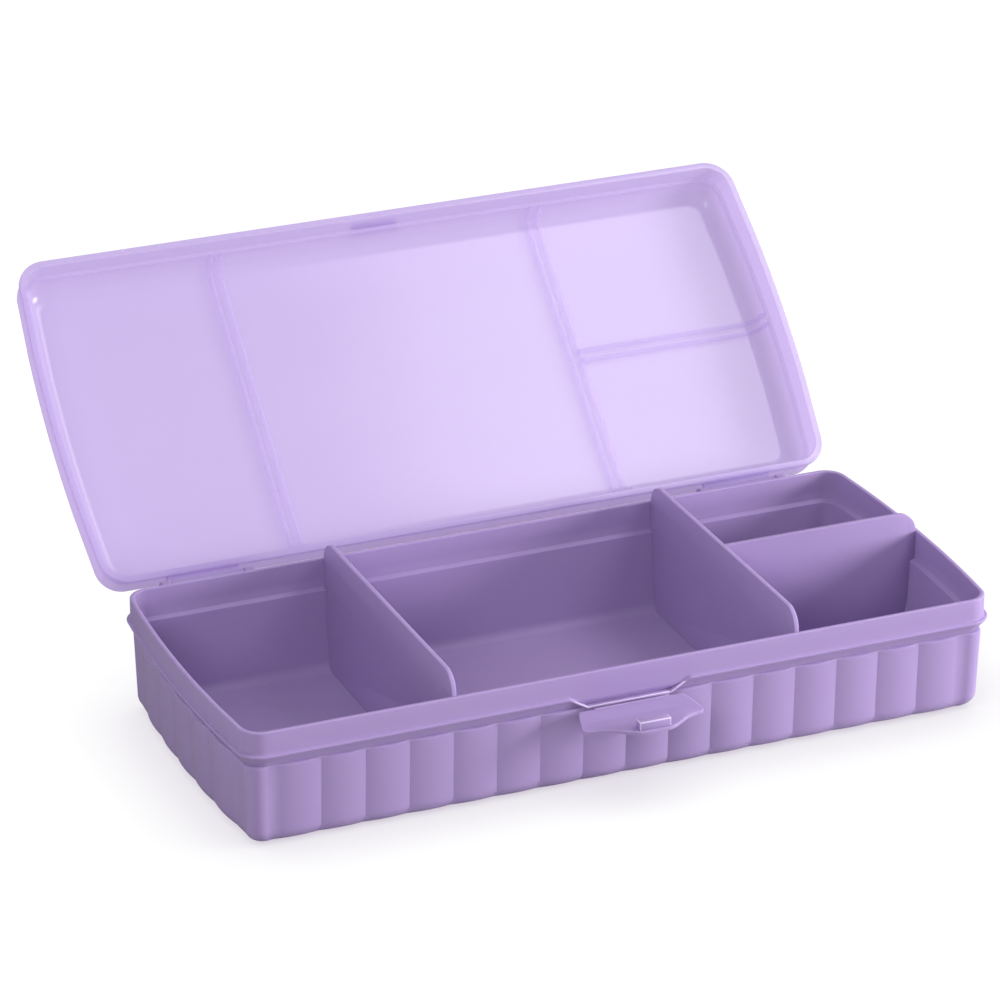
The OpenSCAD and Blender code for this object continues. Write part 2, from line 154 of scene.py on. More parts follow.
# ---------- latch sizes ----------
# The hinged root, and the tab's widths at the wall and at its front
ROOT_L = 27.0
ROOT_R = 0.5
ROOT_OUT = 1.4
ROOT_DROP = 0.4
LATCH_BACK_W = 38.0
LATCH_FRONT_W = 44.8
LATCH_FLARE = 0.7
WING_REACH = 12.0
WING_ROUND = 2.0
TONGUE_REACH = 21.4
LATCH_T = 1.2
TAB_UP = 0.2
# Slopes of the drooping tab and of the tongue's rise beyond the bend
DROOP = 0.14
TONGUE_LIFT = 0.19
BEND_AT = 7.0
# How far across the tongue reaches out and rises, as shares of half the tab
TONGUE_SIDE = 0.95
TONGUE_BLEND = 0.78
LIFT_SIDE = 1.0
LIFT_BLEND = 0.45
HOOK_W = 11.6
HOOK_H = 3.2
HOOK_L = 3.6
HOOK_IN = 1.0
# The ridge on the lid's front that the hook holds, and the notch that it drops into
CATCH_GAP = 2.9
CATCH_OUT = 1.2
CATCH_H = 1.9
NOTCH_UP = 2.4
NOTCH_H = 4.6
NOTCH_IN = 0.2
NOTCH_OUT = 4
# The dip in the bead behind the latch, with its thin ridge and its curled ends
POCKET_SPARE = 0.2
POCKET_BLEND = 1.2
POCKET_STEP = 0.3
RIDGE_UP = 0.1
RIDGE_OUT = 0.6
RIDGE_T = 0.8
CURL_OUT = 0.7
CURL_IN = 0.3
CURL_W = 1.4
CURL_DROP = 0.5

# ---------- derived places ----------
HALF_L = RIM_L / 2
HALF_W = RIM_W / 2
BOW_R = (HALF_W ** 2 + END_BOW ** 2) / (2 * END_BOW)
BOW_X = HALF_L - BOW_R
BEAD_Z = RIM_H - BAND_H
LEDGE_Z = RIM_H - LEDGE_DROP
RIB_TOP = RIM_H - RIB_DROP
DIVIDER_TOP = RIM_H + DIVIDER_RISE
FOOT_INSET = FOOT_IN + FOOT_R
FILLET_R = FOOT_R - WALL_T
LID_EDGE_Z = BEAD_Z + SEAT_GAP
LID_SEAT_Z = RIM_H + SEAT_GAP
SKIRT_IN = -LID_GAP
SKIRT_OUT = SKIRT_IN - LID_T
SHOULDER_Z = LID_SEAT_Z + SHOULDER_UP
DOME_INSET = SKIRT_OUT + SHOULDER_W
DOME_IN_W = DOME_INSET - LEDGE_IN
DOME_IN_H = SHOULDER_UP + SHOULDER_H - LID_T
AXIS_Y = HALF_W + AXIS_OUT
AXIS_Z = BEAD_Z + AXIS_UP
LUG_R = KNUCKLE_R + LUG_WALL
LUG_X = KNUCKLE_L / 2 + SIDE_GAP + LUG_T / 2
LUG_TOP = BEAD_Z - LUG_DROP
HEEL_R = KNUCKLE_R + HEEL_OUT
LATCH_Y = -(HALF_W + ROOT_OUT)
LATCH_Z = RIB_TOP - ROOT_DROP
HOOK_FROM = TONGUE_REACH - HOOK_L - HOOK_IN
POCKET_TOP_W = LATCH_FRONT_W + POCKET_SPARE
POCKET_DROP = BEAD_Z - (RIB_TOP - POCKET_SPARE)
RIDGE_LOW = RIB_TOP + RIDGE_UP
CURL_LOW = RIDGE_LOW + RIDGE_UP
CURL_TOP = BEAD_Z - CURL_DROP
CATCH_W = HOOK_W + 2 * CATCH_GAP
CHANNEL_MID = DIVIDER_T / 2 + CHANNEL_GAP + CHANNEL_T / 2
CHANNEL_SUNK = LID_T / 3
CHANNEL_TOP = LID_SEAT_Z + DOME_IN_H + CROWN * CROWN_MID_SHARE + CHANNEL_SUNK

# Rounding of the edges, as the mould leaves them: of most pieces, then of the others
EDGE_SOFT = 0.35
CURL_SOFT = 0.3
DIVIDER_SOFT = 0.45
BORE_SOFT = 0.25
RIDGE_SOFT = 0.25
TAB_SOFT = 0.5
NOTCH_SOFT = 0.3
HEEL_SOFT = 0.3
CHANNEL_SOFT = 0.2
# Faces that meet at more than these angles, in degrees, keep a crease
TRAY_CREASE = 26
HINGE_CREASE = 35
DIVIDER_CREASE = 30
LID_CREASE = 38
LATCH_CREASE = 50

# Steps of the fine meshes; the place in the row of ribs runs on a little past each corner
RIB_STEPS = 10
CORNER_STEPS = 14
CORNER_LEAD = 0.6
ARC_STEPS = 8
DOME_STEPS = 14
BORE_STEPS = 48
ROOT_STEPS = 24
TAB_ROWS = 25
TAB_COLS = 81

# ---------- finishes ----------
# Tints drift between two close colours; drift and grain are noise scales, and the scatter's
# depth and the grain's heights are in metres
PLASTIC_IOR = 1.49
TRAY_TINTS = ("#a892c2", "#ad98c7")
# Painted highlight: the bevelled edge faces take a paler tint, standing in for light caught on the
# fillets, at this share
EDGE_HIGHLIGHT_TINT = "#dccdf0"
EDGE_HIGHLIGHT_SHARE = 0.85
TRAY_ROUGHNESS = 0.36
TRAY_GLOSS = 0.15
TRAY_SCATTER = 0.5
TRAY_SCATTER_RADIUS = (1.0, 0.9, 1.1)
TRAY_SCATTER_DEPTH = 0.002
TRAY_DRIFT = 14
TRAY_GRAIN = 900
TRAY_GRAIN_H = 0.00002
LID_GLOSS = 0.9
LID_GLOW = 0.45
LID_DRIFT = 9
LID_GRAIN = 260
LID_GRAIN_H = 0.00004
LID_EDGE_SPREAD = 1.5
# The clear lid and its thinner ribs; a share is how much of what lies behind shows
LID_CLEAR = {"share": 0.36, "edge_share": 0.4, "tint": "#f1e6fb",
             "body": ("#d3c5ea", "#d9cbf0"), "through": "#e4d6f4", "roughness": 0.16}
RIB_CLEAR = {"share": 0.86, "tint": "#fbf8ff",
             "body": ("#f0e7fd", "#f4ecff"), "through": "#f8f2ff", "roughness": 0.15}


# ---------- materials ----------

def node_material(name):
    """An empty material with its node tree and its output."""
    material = bpy.data.materials.new(name)
    material.use_nodes = True
    tree = material.node_tree
    tree.nodes.clear()
    output = tree.nodes.new("ShaderNodeOutputMaterial")
    return material, tree, output


def tinted(tree, coords, tints, scale):
    """A colour that drifts between two close tints over the piece."""
    noise = tree.nodes.new("ShaderNodeTexNoise")
    noise.inputs["Scale"].default_value = scale
    noise.inputs["Detail"].default_value = 2
    tree.links.new(coords, noise.inputs["Vector"])
    mix = tree.nodes.new("ShaderNodeMix")
    mix.data_type = "RGBA"
    mix.inputs["A"].default_value = rgba(tints[0])
    mix.inputs["B"].default_value = rgba(tints[1])
    tree.links.new(noise.outputs["Fac"], mix.inputs["Factor"])
    return mix.outputs["Result"]


def painted_edge_highlights(tree, colour, highlight_tint):
    """A colour that turns paler on the faces marked by a bevel: a painted highlight along the
    edges.
    """
    mark = tree.nodes.new("ShaderNodeAttribute")
    mark.attribute_name = "thin_edge"
    mix = tree.nodes.new("ShaderNodeMix")
    mix.data_type = "RGBA"
    mix.inputs["B"].default_value = highlight_tint
    tree.links.new(colour, mix.inputs["A"])
    tree.links.new(mark.outputs["Fac"], mix.inputs["Factor"])
    return mix.outputs["Result"]


def moulded_grain(tree, coords, scale, height):
    """The faint unevenness of a moulded face, as a bump."""
    noise = tree.nodes.new("ShaderNodeTexNoise")
    noise.inputs["Scale"].default_value = scale
    noise.inputs["Detail"].default_value = 3
    tree.links.new(coords, noise.inputs["Vector"])
    bump = tree.nodes.new("ShaderNodeBump")
    bump.inputs["Strength"].default_value = 0.5
    bump.inputs["Distance"].default_value = height
    tree.links.new(noise.outputs["Fac"], bump.inputs["Height"])
    return bump.outputs["Normal"]


def rgba(text):
    """Linear colour of an sRGB hex string."""
    parts = [int(text[i:i + 2], 16) / 255 for i in (1, 3, 5)]
    return [p / 12.92 if p <= 0.04045 else ((p + 0.055) / 1.055) ** 2.4 for p in parts] + [1.0]


def lilac_plastic():
    """Solid satin lilac of the tray, the dividers, the latch and the pins."""
    material, tree, output = node_material("tray_lilac_satin")
    coords = tree.nodes.new("ShaderNodeTexCoord").outputs["Object"]
    shader = tree.nodes.new("ShaderNodeBsdfPrincipled")
    shader.inputs["Roughness"].default_value = TRAY_ROUGHNESS
    shader.inputs["IOR"].default_value = PLASTIC_IOR
    shader.inputs["Specular IOR Level"].default_value = TRAY_GLOSS
    shader.inputs["Subsurface Weight"].default_value = TRAY_SCATTER
    shader.inputs["Subsurface Radius"].default_value = TRAY_SCATTER_RADIUS
    shader.inputs["Subsurface Scale"].default_value = TRAY_SCATTER_DEPTH
    colour = tinted(tree, coords, TRAY_TINTS, TRAY_DRIFT)
    # The bevelled edge faces turn paler: a painted highlight.
    tree.links.new(painted_edge_highlights(tree, colour, rgba(EDGE_HIGHLIGHT_TINT)), shader.inputs["Base Color"])
    tree.links.new(moulded_grain(tree, coords, TRAY_GRAIN, TRAY_GRAIN_H), shader.inputs["Normal"])
    tree.links.new(shader.outputs["BSDF"], output.inputs["Surface"])
    return material


def see_through(name, share, tint, body, through, roughness, edge_share=None):
    """See-through plastic: gloss, light let through it, and a share of what is behind.

    Points with lid_edge 1 show the edge share instead, as a wall seen along its length does."""
    material, tree, output = node_material(name)
    coords = tree.nodes.new("ShaderNodeTexCoord").outputs["Object"]
    shader = tree.nodes.new("ShaderNodeBsdfPrincipled")
    shader.inputs["Roughness"].default_value = roughness
    shader.inputs["IOR"].default_value = PLASTIC_IOR
    shader.inputs["Specular IOR Level"].default_value = LID_GLOSS
    tree.links.new(tinted(tree, coords, body, LID_DRIFT), shader.inputs["Base Color"])
    tree.links.new(moulded_grain(tree, coords, LID_GRAIN, LID_GRAIN_H), shader.inputs["Normal"])
    glow = tree.nodes.new("ShaderNodeBsdfTranslucent")
    glow.inputs["Color"].default_value = rgba(through)
    clear = tree.nodes.new("ShaderNodeBsdfTransparent")
    clear.inputs["Color"].default_value = rgba(tint)
    lit = tree.nodes.new("ShaderNodeMixShader")
    lit.inputs["Fac"].default_value = LID_GLOW
    tree.links.new(shader.outputs["BSDF"], lit.inputs[1])
    tree.links.new(glow.outputs["BSDF"], lit.inputs[2])
    both = tree.nodes.new("ShaderNodeMixShader")
    both.inputs["Fac"].default_value = share
    if edge_share is not None:
        edge = tree.nodes.new("ShaderNodeAttribute")
        edge.attribute_name = "lid_edge"
        spread = tree.nodes.new("ShaderNodeMapRange")
        spread.inputs["To Min"].default_value = share
        spread.inputs["To Max"].default_value = edge_share
        tree.links.new(edge.outputs["Fac"], spread.inputs["Value"])
        tree.links.new(spread.outputs["Result"], both.inputs["Fac"])
    tree.links.new(lit.outputs["Shader"], both.inputs[1])
    tree.links.new(clear.outputs["BSDF"], both.inputs[2])
    tree.links.new(both.outputs["Shader"], output.inputs["Surface"])
    return material


def white_floor():
    """Pale floor that reads white to the camera, with a painted contact shadow close to the box,
    and keeps the box's shadow.
    """
    material, tree, output = node_material("studio_white")
    cloth = tree.nodes.new("ShaderNodeBsdfDiffuse")
    cloth.inputs["Color"].default_value = FLOOR_BOUNCE
    shade = tree.nodes.new("ShaderNodeBsdfDiffuse")
    shade.inputs["Color"].default_value = FLOOR_SHADE
    # Painted shadow: what the camera sees of the floor darkens where the box shuts it in nearby,
    # by ambient occlusion
    contact_occlusion = tree.nodes.new("ShaderNodeAmbientOcclusion")
    contact_occlusion.inputs["Distance"].default_value = PAINTED_SHADE_REACH
    painted_shade = tree.nodes.new("ShaderNodeMix")
    painted_shade.data_type = "RGBA"
    painted_shade.inputs["A"].default_value = PAINTED_CONTACT_SHADE
    painted_shade.inputs["B"].default_value = FLOOR_WHITE
    tree.links.new(contact_occlusion.outputs["AO"], painted_shade.inputs["Factor"])
    glow = tree.nodes.new("ShaderNodeEmission")
    tree.links.new(painted_shade.outputs["Result"], glow.inputs["Color"])
    seen = tree.nodes.new("ShaderNodeAddShader")
    tree.links.new(shade.outputs["BSDF"], seen.inputs[0])
    tree.links.new(glow.outputs["Emission"], seen.inputs[1])
    either = seen_or_passed(tree)
    mix = tree.nodes.new("ShaderNodeMixShader")
    tree.links.new(either, mix.inputs["Fac"])
    tree.links.new(cloth.outputs["BSDF"], mix.inputs[1])
    tree.links.new(seen.outputs["Shader"], mix.inputs[2])
    tree.links.new(mix.outputs["Shader"], output.inputs["Surface"])
    return material


def seen_or_passed(tree):
    """1 for what the camera sees, straight or through something clear."""
    path = tree.nodes.new("ShaderNodeLightPath")
    either = tree.nodes.new("ShaderNodeMath")
    either.operation = "MAXIMUM"
    tree.links.new(path.outputs["Is Camera Ray"], either.inputs[0])
    tree.links.new(path.outputs["Is Transmission Ray"], either.inputs[1])
    return either.outputs["Value"]


# ---------- mesh helpers ----------

def mesh_object(name, points, faces, material):
    """A mesh piece from points in millimetres, with its object at the origin."""
    mesh = bpy.data.meshes.new(name)
    mesh.from_pydata([tuple(c * MM for c in p) for p in points], [], faces)
    mesh.update()
    obj = bpy.data.objects.new(name, mesh)
    bpy.context.scene.collection.objects.link(obj)
    mesh.materials.append(material)
    return obj


def mark_points(obj, name, values):
    """Writes a value for each point of a piece's rings; the points left over get none."""
    spare = len(obj.data.vertices) - len(values)
    mark = obj.data.attributes.new(name, "FLOAT", "POINT")
    mark.data.foreach_set("value", list(values) + [0] * spare)


def shade(obj, angle):
    """Smooth faces with creases kept where they meet at more than the angle, in degrees."""
    obj.data.shade_smooth()
    obj.data.set_sharp_from_angle(angle=math.radians(angle))


def soften(obj, width, segments=2, angle=40):
    """Rounds a piece's edges, as a mould leaves them."""
    bevel = obj.modifiers.new("soft_edges", "BEVEL")
    bevel.width = width * MM
    bevel.segments = segments
    bevel.limit_method = "ANGLE"
    bevel.angle_limit = math.radians(angle)
    bevel.harden_normals = False


def apply_modifiers(obj):
    """Turns a piece into the plain mesh that its modifiers make."""
    bpy.context.view_layer.update()
    depsgraph = bpy.context.evaluated_depsgraph_get()
    mesh = bpy.data.meshes.new_from_object(obj.evaluated_get(depsgraph))
    obj.modifiers.clear()
    obj.data = mesh


def bevel_with_marks(obj):
    """Applies a piece's bevel and marks the faces it makes for the painted edge highlight."""
    obj.data.materials.append(obj.data.materials[0])
    for bevel in obj.modifiers:
        bevel.material = 1
    apply_modifiers(obj)
    mesh = obj.data
    marks = np.zeros(len(mesh.polygons), dtype=np.int32)
    mesh.polygons.foreach_get("material_index", marks)
    mesh.attributes.new("thin_edge", "FLOAT", "FACE").data.foreach_set(
        "value", marks.astype(float) * EDGE_HIGHLIGHT_SHARE)
    mesh.polygons.foreach_set("material_index", marks * 0)
    mesh.materials.pop(index=1)


def turn_about(obj, y, z, degrees):
    """Turns a piece's mesh about a line along X."""
    centre = Vector((0, y * MM, z * MM))
    spin = Matrix.Rotation(math.radians(degrees), 4, "X")
    obj.data.transform(Matrix.Translation(centre) @ spin @ Matrix.Translation(-centre))


def swap_x_and_y(obj):
    """Lays a plate drawn across the box along it instead, with its faces outwards again."""
    obj.data.transform(Matrix(((0, 1, 0, 0), (1, 0, 0, 0), (0, 0, 1, 0), (0, 0, 0, 1))))
    outward(obj)


def outward(obj):
    """Makes the faces of a closed piece point outwards."""
    shape = bmesh.new()
    shape.from_mesh(obj.data)
    bmesh.ops.recalc_face_normals(shape, faces=shape.faces)
    shape.to_mesh(obj.data)
    shape.free()


# ---------- plan outlines ----------

def end_x(y, inset):
    """How far out the bowed end lies at a place across the box."""
    return BOW_X + math.sqrt((BOW_R - inset) ** 2 - y * y)


def corner(inset, r, side_x, side_y):
    """Arc of a corner from the long side to the end."""
    cy = HALF_W - inset - r
    cx = BOW_X + math.sqrt((BOW_R - inset - r) ** 2 - cy ** 2)
    last = math.atan2(cy, cx - BOW_X)
    angles = np.linspace(math.pi / 2, last, CORNER_STEPS + 1)
    return [(side_x * (cx + r * math.cos(a)), side_y * (cy + r * math.sin(a))) for a in angles]


def outline(inset, r, xs, ys):
    """Closed outline, anticlockwise from the front's left."""
    plan = [(x, inset - HALF_W) for x in xs]
    plan += corner(inset, r, 1, -1)
    plan += [(end_x(y, inset), y) for y in ys]
    plan += corner(inset, r, 1, 1)[::-1]
    plan += [(x, HALF_W - inset) for x in xs[::-1]]
    plan += corner(inset, r, -1, 1)
    plan += [(-end_x(y, inset), y) for y in ys[::-1]]
    plan += corner(inset, r, -1, -1)[::-1]
    return np.array(plan)


def tray_r(inset):
    """Corner radius of the tray, which tightens towards the foot."""
    if inset < 0:
        return CORNER_R - inset
    return CORNER_R - inset * (CORNER_R - FOOT_CORNER_R) / FOOT_INSET


def lid_r(inset):
    """Corner radius of the lid, which tightens a little towards the panel."""
    return CORNER_R - inset if inset < 0 else max(1, CORNER_R - inset * LID_R_FALL)


def skin(rings):
    """Points and faces of a closed skin through rings, with a fan at each end."""
    count = len(rings[0])
    points = [tuple(p) for ring in rings for p in ring]
    faces = []
    for k in range(len(rings) - 1):
        for i in range(count):
            a = k * count + i
            b = k * count + (i + 1) % count
            faces.append((a, b, b + count, a + count))
    last = (len(rings) - 1) * count
    for ring, start, flip in ((rings[0], 0, True), (rings[-1], last, False)):
        middle = len(points)
        points.append((0, 0, ring[0][2]))
        for i in range(count):
            a, b = start + i, start + (i + 1) % count
            faces.append((middle, b, a) if flip else (middle, a, b))
    return points, faces


def arc_rows(z, inset, r_z, r_in, first, last, steps=ARC_STEPS):
    """Rows of [height, inset] on an arc about a centre, between two angles in degrees."""
    return [(z + r_z * math.sin(math.radians(a)), inset + r_in * math.cos(math.radians(a)))
            for a in np.linspace(first, last, steps + 1)]


# ---------- tray ----------

def pocket_half(z):
    """Half width of the flat dip in the bead at a height."""
    share = min(1, max(0, (z - BEAD_Z + POCKET_DROP) / POCKET_DROP))
    return ROOT_L / 2 + (POCKET_TOP_W - ROOT_L) / 2 * share


def smooth_step(t):
    """Eases from 0 to 1."""
    t = min(1, max(0, t))
    return t * t * (3 - 2 * t)


def tray_outside_rows():
    """Rows of [height, inset, share of the rib], from the underside up to the rim."""
    rows = [(z, inset, math.cos(math.radians(a))) for a, (z, inset) in zip(
        np.linspace(-90, 0, 13), arc_rows(FOOT_R, FOOT_INSET, FOOT_R, -FOOT_R, -90, 0, 12))]
    rib_end = RIB_TOP - RIB_END_H
    for t in np.linspace(0, 1, 7)[1:]:
        z = FOOT_R + (rib_end - FOOT_R) * t
        rows.append((z, FOOT_IN + (RIB_IN - FOOT_IN) * (z - FOOT_R) / (RIB_TOP - FOOT_R), 1))
    for t in (0.35, 0.65, 0.85, 1):
        rows.append((rib_end + RIB_END_H * t, RIB_IN, math.sqrt(max(0, 1 - t * t))))
    rows += [(RIB_TOP + up, inset, 0) for up, inset in SLANT]
    rows += [(BEAD_Z + up, inset, 0) for up, inset in BEAD_ROUND]
    rows += [(z, inset, 0) for z, inset in
             arc_rows(RIM_H - RIM_ROUND, RIM_ROUND, RIM_ROUND, -RIM_ROUND, 0, 90, 4)]
    return rows


def tray_inside_rows():
    """Rows of [height, inset], from the rim down to the floor."""
    rows = arc_rows(RIM_H - RIM_ROUND_IN, RIM_WALL - RIM_ROUND_IN, RIM_ROUND_IN, RIM_ROUND_IN,
                    90, 0, 4)
    rows += [(LEDGE_Z + up, RIM_WALL + inset) for up, inset in LEDGE_BACK]
    rows += [(LEDGE_Z + up, RIB_IN + WALL_T + inset) for up, inset in LEDGE_LIP]
    rows += [(WALL_MID_Z, (RIB_IN + FOOT_IN) / 2 + WALL_T)]
    rows += arc_rows(FLOOR_T + FILLET_R, FOOT_INSET + WALL_T, -FILLET_R, -FILLET_R, 0, 90, 8)
    return rows


def tray_stations():
    """Places along the long sides and the ends, closer together beside the latch's dip."""
    xs = set(np.round(np.linspace(-SIDE_RIBS / 2, SIDE_RIBS / 2, SIDE_RIBS * RIB_STEPS + 1)
                      * RIB_PITCH, 4))
    close = np.round(np.arange(ROOT_L / 2 - 1.5, POCKET_TOP_W / 2 + 1.6, POCKET_STEP), 4)
    xs |= set(close) | set(-close)
    ys = (np.linspace(0, END_RIBS, END_RIBS * RIB_STEPS + 1) - END_RIBS / 2) * END_PITCH
    return sorted(xs), list(ys)


def rib_tree(material):
    """Geometry Nodes tree that swells a wall into ribs, from its own attributes."""
    tree = bpy.data.node_groups.new("wall_ribs", "GeometryNodeTree")
    tree.interface.new_socket("Wall", in_out="INPUT", socket_type="NodeSocketGeometry")
    depth = tree.interface.new_socket("Rib Depth", in_out="INPUT", socket_type="NodeSocketFloat")
    power = tree.interface.new_socket("Crest Roundness", in_out="INPUT",
                                      socket_type="NodeSocketFloat")
    tree.interface.new_socket("Ribbed Wall", in_out="OUTPUT", socket_type="NodeSocketGeometry")
    nodes, links = tree.nodes, tree.links
    entry = nodes.new("NodeGroupInput")

    def attribute(name, kind):
        node = nodes.new("GeometryNodeInputNamedAttribute")
        node.data_type = kind
        node.inputs["Name"].default_value = name
        return node.outputs["Attribute"]

    def maths(operation, first, second=None):
        node = nodes.new("ShaderNodeMath")
        node.operation = operation
        for i, value in enumerate((first, second)):
            if isinstance(value, (int, float)):
                node.inputs[i].default_value = value
            elif value is not None:
                links.new(value, node.inputs[i])
        return node.outputs["Value"]

    part = maths("FRACT", attribute("rib_place", "FLOAT"))
    from_crest = maths("ABSOLUTE", maths("SUBTRACT", maths("MULTIPLY", part, 2), 1))
    fall = maths("POWER", from_crest, entry.outputs["Crest Roundness"])
    swell = maths("SUBTRACT", 1, maths("MULTIPLY", fall, attribute("rib_fall", "FLOAT")))
    reach = maths("MULTIPLY", maths("MULTIPLY", swell, attribute("rib_share", "FLOAT")),
                  entry.outputs["Rib Depth"])
    push = nodes.new("ShaderNodeVectorMath")
    push.operation = "SCALE"
    links.new(attribute("rib_out", "FLOAT_VECTOR"), push.inputs[0])
    links.new(reach, push.inputs["Scale"])
    move = nodes.new("GeometryNodeSetPosition")
    links.new(entry.outputs["Wall"], move.inputs["Geometry"])
    links.new(push.outputs["Vector"], move.inputs["Offset"])
    finish_tree(tree, move.outputs["Geometry"], material)
    return tree, {"depth": depth.identifier, "power": power.identifier}


def finish_tree(tree, geometry, material):
    """Ends a tree in Realize Instances and Set Material."""
    real = tree.nodes.new("GeometryNodeRealizeInstances")
    tree.links.new(geometry, real.inputs["Geometry"])
    paint = tree.nodes.new("GeometryNodeSetMaterial")
    paint.inputs["Material"].default_value = material
    tree.links.new(real.outputs["Geometry"], paint.inputs["Geometry"])
    tree.links.new(paint.outputs["Geometry"], tree.nodes.new("NodeGroupOutput").inputs[0])


def place_in_ribs(xs, ys):
    """Place of each outline point in its row of ribs: whole numbers are valleys."""
    sides = [x / RIB_PITCH + SIDE_RIBS / 2 for x in xs]
    ends = [y / END_PITCH + END_RIBS / 2 for y in ys]
    turn = [(i + CORNER_LEAD) / (CORNER_STEPS + 2 * CORNER_LEAD) for i in range(CORNER_STEPS + 1)]
    row = sides + turn + ends + turn[::-1]
    row += sides[::-1] + turn + ends[::-1] + turn[::-1]
    return row


def falls_of_ribs(xs, ys):
    """How deep the valleys are cut at each outline point: shallower on the ends."""
    sides, ends = [1] * len(xs), [END_VALLEY] * len(ys)
    turn = list(np.linspace(1, END_VALLEY, CORNER_STEPS + 1))
    row = sides + turn + ends + turn[::-1]
    return row + sides + turn + ends + turn[::-1]


def make_tray(material):
    """The ribbed tray: one closed skin up the outside, over the rim and down the inside."""
    xs, ys = tray_stations()
    places = place_in_ribs(xs, ys)
    rings, shares, outs = [], [], []
    outside = tray_outside_rows()
    for z, inset, share in outside:
        plan = outline(inset, tray_r(inset), xs, ys)
        further = outline(inset - 1, tray_r(inset - 1), xs, ys)
        ring = []
        for (x, y), step in zip(plan, further - plan):
            cut = 0
            if y < 0 and abs(x) < POCKET_TOP_W and inset < 0:
                cut = -inset * smooth_step((pocket_half(z) - abs(x)) / POCKET_BLEND + 0.5)
            ring.append((x - step[0] * cut, y - step[1] * cut, z))
            shares.append(share)
            outs.append((step[0] * MM, step[1] * MM, 0))
        rings.append(ring)
    for z, inset in tray_inside_rows():
        plan = outline(inset, tray_r(inset), xs, ys)
        rings.append([(x, y, z) for x, y in plan])
        shares += [0] * len(plan)
        outs += [(0, 0, 0)] * len(plan)
    points, faces = skin(rings)
    tray = mesh_object("tray_shell", points, faces, material)
    mark_points(tray, "rib_share", shares)
    mark_points(tray, "rib_place", places * len(rings))
    mark_points(tray, "rib_fall", falls_of_ribs(xs, ys) * len(rings))
    extra = len(points) - len(outs)
    tray.data.attributes.new("rib_out", "FLOAT_VECTOR", "POINT").data.foreach_set(
        "vector", np.array(outs + [(0, 0, 0)] * extra).ravel())
    tree, names = rib_tree(material)
    ribs = tray.modifiers.new("ribs", "NODES")
    ribs.node_group = tree
    ribs[names["depth"]] = RIB_DEPTH
    ribs[names["power"]] = RIB_ROUNDNESS
    apply_modifiers(tray)
    for name in ("rib_share", "rib_place", "rib_fall", "rib_out"):
        spare = tray.data.attributes.get(name)
        if spare:
            tray.data.attributes.remove(spare)
    shade(tray, TRAY_CREASE)
    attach(tray, "tray")
    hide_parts("base_tray")
    return tray


def prism(name, profile, x_low, x_high, material, width=EDGE_SOFT):
    """A plate from a side profile in Y and Z, between two places along X, with soft edges."""
    count = len(profile)
    points = [(x, y, z) for x in (x_low, x_high) for y, z in profile]
    faces = [tuple(range(count)), tuple(range(2 * count - 1, count - 1, -1))]
    faces += [(i, i + count, (i + 1) % count + count, (i + 1) % count) for i in range(count)]
    obj = mesh_object(name, points, faces, material)
    outward(obj)
    if width:
        soften(obj, width)
    return obj


def round_points(y, z, r, first, last, steps):
    """Points of an arc in Y and Z, between two angles in degrees."""
    return [(y + r * math.cos(math.radians(a)), z + r * math.sin(math.radians(a)))
            for a in np.linspace(first, last, steps + 1)]


def circle_points(y, z, r, count):
    """Points of a full circle in Y and Z."""
    return round_points(y, z, r, 0, 360 - 360 / count, count - 1)


def pair_tree(material):
    """Geometry Nodes tree that sets a piece out as two pairs along X."""
    tree = bpy.data.node_groups.new("two_pairs", "GeometryNodeTree")
    tree.interface.new_socket("Piece", in_out="INPUT", socket_type="NodeSocketGeometry")
    pair = tree.interface.new_socket("Pair Place", in_out="INPUT", socket_type="NodeSocketFloat")
    member = tree.interface.new_socket("Member Place", in_out="INPUT",
                                       socket_type="NodeSocketFloat")
    tree.interface.new_socket("Set", in_out="OUTPUT", socket_type="NodeSocketGeometry")
    nodes, links = tree.nodes, tree.links
    entry = nodes.new("NodeGroupInput")

    def two_points(half):
        """Two points at minus and plus a half distance on X."""
        start = nodes.new("ShaderNodeMath")
        start.operation = "MULTIPLY"
        start.inputs[1].default_value = -1
        links.new(half, start.inputs[0])
        low, high = nodes.new("ShaderNodeCombineXYZ"), nodes.new("ShaderNodeCombineXYZ")
        links.new(start.outputs["Value"], low.inputs["X"])
        links.new(half, high.inputs["X"])
        line = nodes.new("GeometryNodeMeshLine")
        line.mode = "END_POINTS"
        line.inputs["Count"].default_value = 2
        links.new(low.outputs["Vector"], line.inputs["Start Location"])
        links.new(high.outputs["Vector"], line.inputs["Offset"])
        return line.outputs["Mesh"]

    def set_out(points, piece):
        copies = nodes.new("GeometryNodeInstanceOnPoints")
        links.new(points, copies.inputs["Points"])
        links.new(piece, copies.inputs["Instance"])
        return copies.outputs["Instances"]

    members = set_out(two_points(entry.outputs["Member Place"]), entry.outputs["Piece"])
    pairs = set_out(two_points(entry.outputs["Pair Place"]), members)
    finish_tree(tree, pairs, material)
    return tree, {"pair": pair.identifier, "member": member.identifier}


def set_in_pairs(obj, pair_place, member_place, tree_and_names):
    """Repeats a piece made about X = 0 at both members of both pairs."""
    tree, names = tree_and_names
    repeat = obj.modifiers.new("pairs", "NODES")
    repeat.node_group = tree
    repeat[names["pair"]] = pair_place * MM
    repeat[names["member"]] = member_place * MM
    apply_modifiers(obj)


